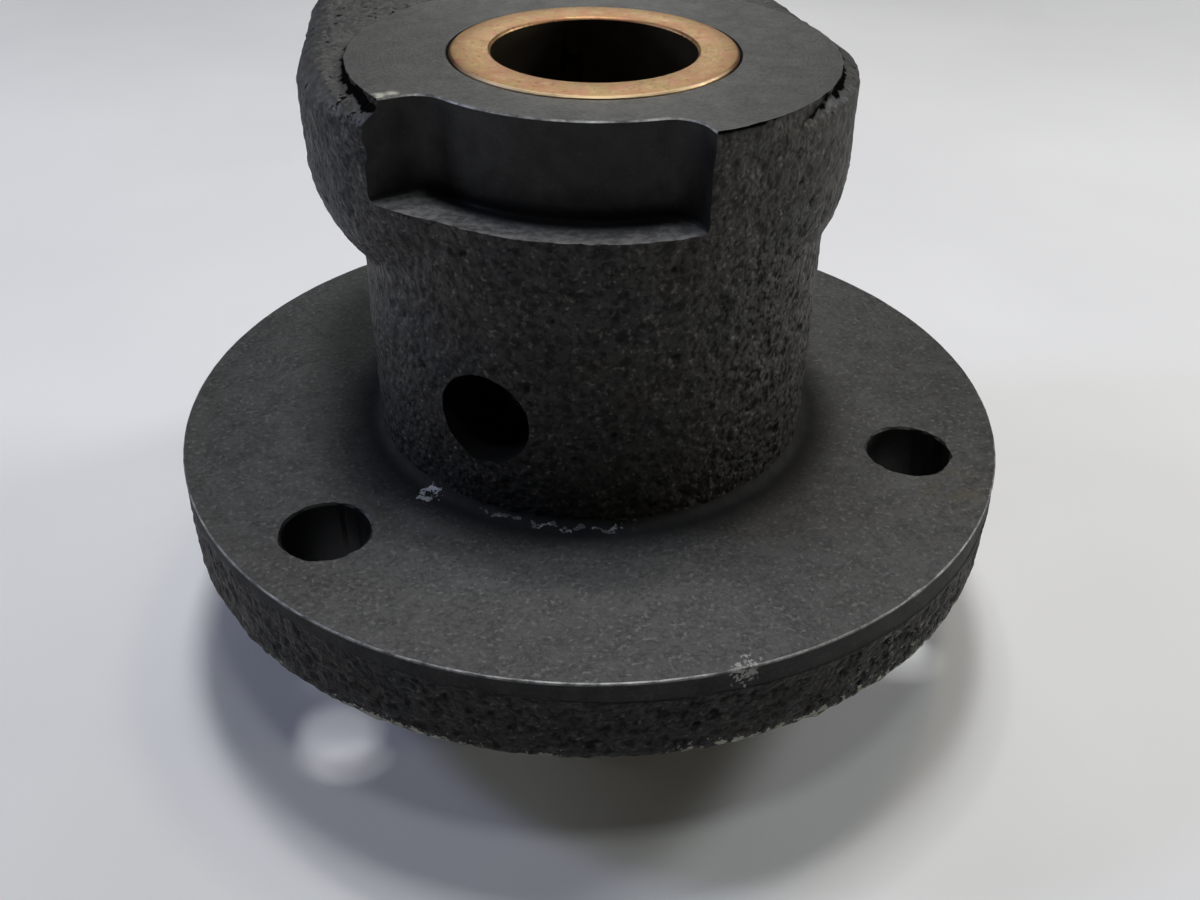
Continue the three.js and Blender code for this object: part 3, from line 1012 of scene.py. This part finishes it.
def bearing_bronze():
    """Sintered bronze: yellow, mottled with pink, with dark reddish specks and a painted highlight at the
    front.
    """
    s = Shader("bearing_bronze")
    tone = s.mix(s.mottled(4, 3, 0.38, 0.62), *BRONZE_TONES)
    tone = s.mix(s.mottled(1.9, 2, 0.44, 0.60, 0.75, 0.6), tone, BRONZE_PINK)
    tone = s.mix(s.mottled(1.5, 2, 0.54, 0.68, 0.7, 0.6), tone, BRONZE_YELLOW)
    tone = s.mix(s.mottled(0.6, 3, 0.57, 0.68, 0.7, 0.6), tone, BRONZE_SPECK)
    tone = s.mix(s.remap(s.rings(0.35), 0.42, 0.7, 0, 0.3), tone, BRONZE_MARK)
    rim = s.larger(s.by_radius(16.9, 17.3), s.by_radius(13.0, 12.7, 0, 0.25))
    behind = s.minus(1.0, s.towards(-95, 30, 25))
    edge = s.times(rim, behind)
    tone = s.mix(s.times(edge, 0.8), tone, BRONZE_EDGE)
    # Painted highlight: a bright line on the ring's outer edge at the front.
    painted_highlight = s.times(s.by_radius(17.05, 17.2), s.towards(-105, 40, 30))
    tone = s.mix(s.times(painted_highlight, 0.7), tone, BRONZE_HIGHLIGHT_PAINT)
    rough = s.remap(s.noise(2.0, 4), 0.3, 0.7, 0.38, 0.56)
    normal = s.bump(s.rings(0.28, 3), 0.010)
    normal = s.bump(s.noise(0.6, 3, 0.6), 0.03, Normal=normal)
    return s.finish(tone, rough, 0.85, normal)


def running_surface():
    """The bore of a bushing, much darker than its face."""
    s = Shader("running_surface")
    tone = s.mix(s.mottled(3, 3), *RUNNING_TONES)
    return s.finish(tone, 0.42, 0.5, s.bump(s.noise(0.8, 3), 0.01))


def pale_paper():
    """The floor. Far from the lights it glows for the camera alone, so that it stays pale to the horizon."""
    s = Shader("pale_paper")
    tone = s.mix(s.mottled(90, 3), *PAPER_TONES)
    seen = s.node("LightPath").outputs["Is Camera Ray"]
    glow = s.times(seen, s.by_radius(*DISTANCE_STARTS, 0.0, DISTANCE_GLOW))
    normal = s.bump(s.noise(0.7, 3), 0.01)
    return s.finish(tone, 0.85, 0.0, normal, Emission_Color=DISTANCE_COLOUR, Emission_Strength=glow)


# ======== stage ========

CAMERA = {"lens": 36.817, "heading": 75.756, "pitch": -35.23, "roll": 0.87}
LIGHT_DISTANCE = 600.0
FLOOR_REACH = 3000.0
LIGHTS = (  # name, bearing, height above the horizon, size, power, colour
    ("overhead", 0, 86, 70, 0.93, (0.93, 0.96, 1.0)),
    ("overhead_back", 0, 78, 70, 0.69, (0.96, 0.95, 1.0)),
    ("lamp", 22, 75, 35, 0.38, (1.0, 1.0, 0.98)),
    ("back_right", -45, 70, 70, 0.35, (1.0, 0.78, 0.63)),
    ("right", -72, 33, 110, 1.05, (0.93, 0.97, 1.0)),
    ("right_low", -90, 8, 80, 0.51, (1.0, 0.92, 0.69)),
    ("left", 90, 38, 80, 0.66, (0.60, 0.66, 1.0)),
    ("left_low", 72, 17, 90, 0.46, (0.90, 0.95, 1.0)),
    ("back", 0, 30, 200, 0.28, (1.0, 1.0, 0.93)),
    ("front", -170, 70, 80, 0.32, (0.95, 1.0, 1.0)),
)
DARK_WORLD = 0.01  # how much light the world gives the part
CAMERA_PLACE = {"angle": -103.7, "distance": 148.1, "height": TOP + 95.3}


def direction(bearing, height):
    """The direction of a bearing and of a height above the horizon, both in degrees."""
    turn, lift = radians(bearing), radians(height)
    return Vector((cos(turn) * cos(lift), sin(turn) * cos(lift), sin(lift)))


def sensor_axes(heading, pitch, roll):
    """The camera's right, up and backward directions as the columns of a matrix."""
    h, forward = radians(heading), direction(heading, pitch)
    level = Vector((sin(h), -cos(h), 0))
    upright = level.cross(forward)
    tilt = Matrix.Rotation(radians(-roll), 3, forward)
    return Matrix((tilt @ level, tilt @ upright, -forward)).transposed()


def add_camera():
    data = bpy.data.cameras.new("camera")
    data.sensor_width = 36.0
    data.lens = CAMERA["lens"]
    data.clip_start = 0.005
    camera = new_object("camera", data)
    turn = radians(CAMERA_PLACE["angle"])
    distance = CAMERA_PLACE["distance"]
    place = (distance * cos(turn), distance * sin(turn), CAMERA_PLACE["height"])
    axes = sensor_axes(CAMERA["heading"], CAMERA["pitch"], CAMERA["roll"])
    camera.matrix_world = Matrix.Translation(Vector(place) * MM) @ axes.to_4x4()
    bpy.context.scene.camera = camera


def add_light(name, bearing, height, size, power, colour):
    """A soft square light that faces the flange. bearing is counted from the camera's heading."""
    data = bpy.data.lights.new(name, "AREA")
    data.size = size * MM
    data.energy = power
    data.color = colour
    light = new_object(name, data)
    away = direction(CAMERA["heading"] + bearing, height)
    light.location = away * LIGHT_DISTANCE * MM + Vector((0, 0, TOP * MM))
    light.rotation_euler = away.to_track_quat("Z", "Y").to_euler()


def add_world():
    """Surroundings that look pale to the camera and are almost dark to everything else."""
    world = bpy.data.worlds.new("studio")
    world.use_nodes = True
    bpy.context.scene.world = world
    nodes, link = world.node_tree.nodes, world.node_tree.links.new
    background = nodes["Background"]
    background.inputs["Color"].default_value = (*DISTANCE_COLOUR, 1.0)
    strength = nodes.new("ShaderNodeMapRange")
    strength.inputs["To Min"].default_value = DARK_WORLD
    strength.inputs["To Max"].default_value = DISTANCE_GLOW
    link(nodes.new("ShaderNodeLightPath").outputs["Is Camera Ray"], strength.inputs["Value"])
    link(strength.outputs[0], background.inputs["Strength"])


def add_floor():
    corners = np.array([(-1, -1, 0), (1, -1, 0), (1, 1, 0), (-1, 1, 0)]) * FLOOR_REACH
    mesh = make_mesh("floor", corners, [(0, 1, 2, 3)], [0])
    mesh.materials.append(pale_paper())
    new_object("floor", mesh)


# ======== assembly ========


def place(piece, node, slot, materials):
    slots = piece.data.materials
    for index, material in enumerate(materials):
        if index < len(slots):
            slots[index] = material
        else:
            slots.append(material)
    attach(piece, "root")
    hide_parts(node)


skin = cast_skin()
iron = [skin, turned_iron(), milled_iron(), drilled_iron(), worn_iron(), skin]
bronze = [bearing_bronze(), running_surface()]
place(build_housing(), "housing", "cast_iron", iron)
place(build_bushing("bronze_upper_bushing", upper_low[2], False), "upper_bushing", "bronze", bronze)
place(build_bushing("bronze_lower_bushing", lower_low[2], True), "lower_bushing", "bronze", bronze)

add_floor()
add_world()
add_camera()
for light in LIGHTS:
    add_light(*light)
bpy.context.scene.view_settings.view_transform = "Standard"
